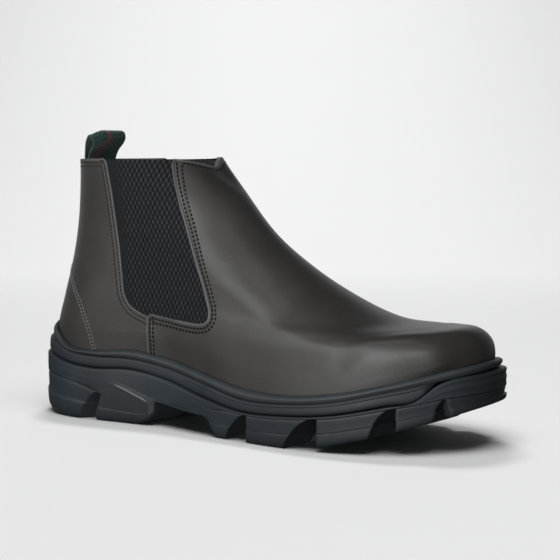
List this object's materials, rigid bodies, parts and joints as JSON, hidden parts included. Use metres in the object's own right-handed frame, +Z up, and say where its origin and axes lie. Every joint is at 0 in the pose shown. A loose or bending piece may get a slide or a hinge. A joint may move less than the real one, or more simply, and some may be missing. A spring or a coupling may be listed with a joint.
{
  "type": "pull-on leather work boot",
  "caption": "Ankle-high pull-on leather work boot with elastic side gores and a pull loop, on a thick lugged rubber sole with a rolled rim.",
  "frame": {"origin": "on the floor, under the middle of the boot's outline", "axes": "+X from heel to toe, +Y to the medial (inner) side, +Z up from the floor"},
  "size_m": [0.3016, 0.1107, 0.1778],
  "materials": {
    "leather": "smooth, soft sheen",
    "elastic": "woven, matt",
    "webbing": "woven, matt",
    "lining": "matt",
    "rubber": "moulded, satin"
  },
  "bodies": {
    "root": {"upper": "leather", "gore_lateral": "elastic", "gore_medial": "elastic", "pull_loop": "webbing", "insole": "lining", "rim": "rubber", "midsole": "rubber", "outsole": "rubber"}
  },
  "joints": []
}
